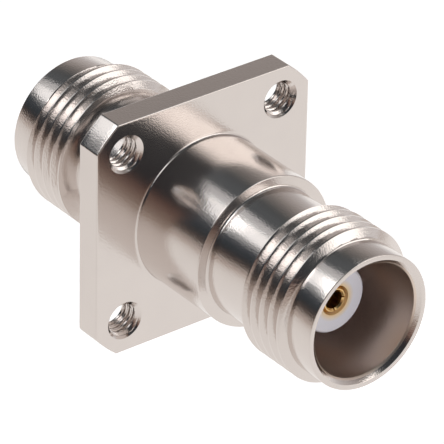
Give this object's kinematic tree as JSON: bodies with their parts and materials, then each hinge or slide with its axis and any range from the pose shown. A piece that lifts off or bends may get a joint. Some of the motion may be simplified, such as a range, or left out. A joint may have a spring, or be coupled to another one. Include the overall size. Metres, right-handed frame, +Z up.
{
  "type": "coaxial adapter",
  "caption": "Panel-mounting coaxial adapter: two threaded jacks back to back through a square flange with tapped corner holes.",
  "frame": {"origin": "on the connector's axis, in the plane of the flange's front face", "axes": "+Y along the connector's axis towards the rear (shorter) jack, the front (longer) jack points to -Y, +Z up, flange edges along X and Z"},
  "size_m": [0.0174, 0.0324, 0.0174],
  "materials": {
    "plated_metal": "satin nickel plate over brass",
    "insulator_white": "smooth fluoropolymer",
    "contact_gold": "gold plate over a copper alloy"
  },
  "bodies": {
    "root": {"body": "plated_metal", "front_insulator": "insulator_white", "rear_insulator": "insulator_white", "centre_contact": "contact_gold"}
  },
  "joints": []
}
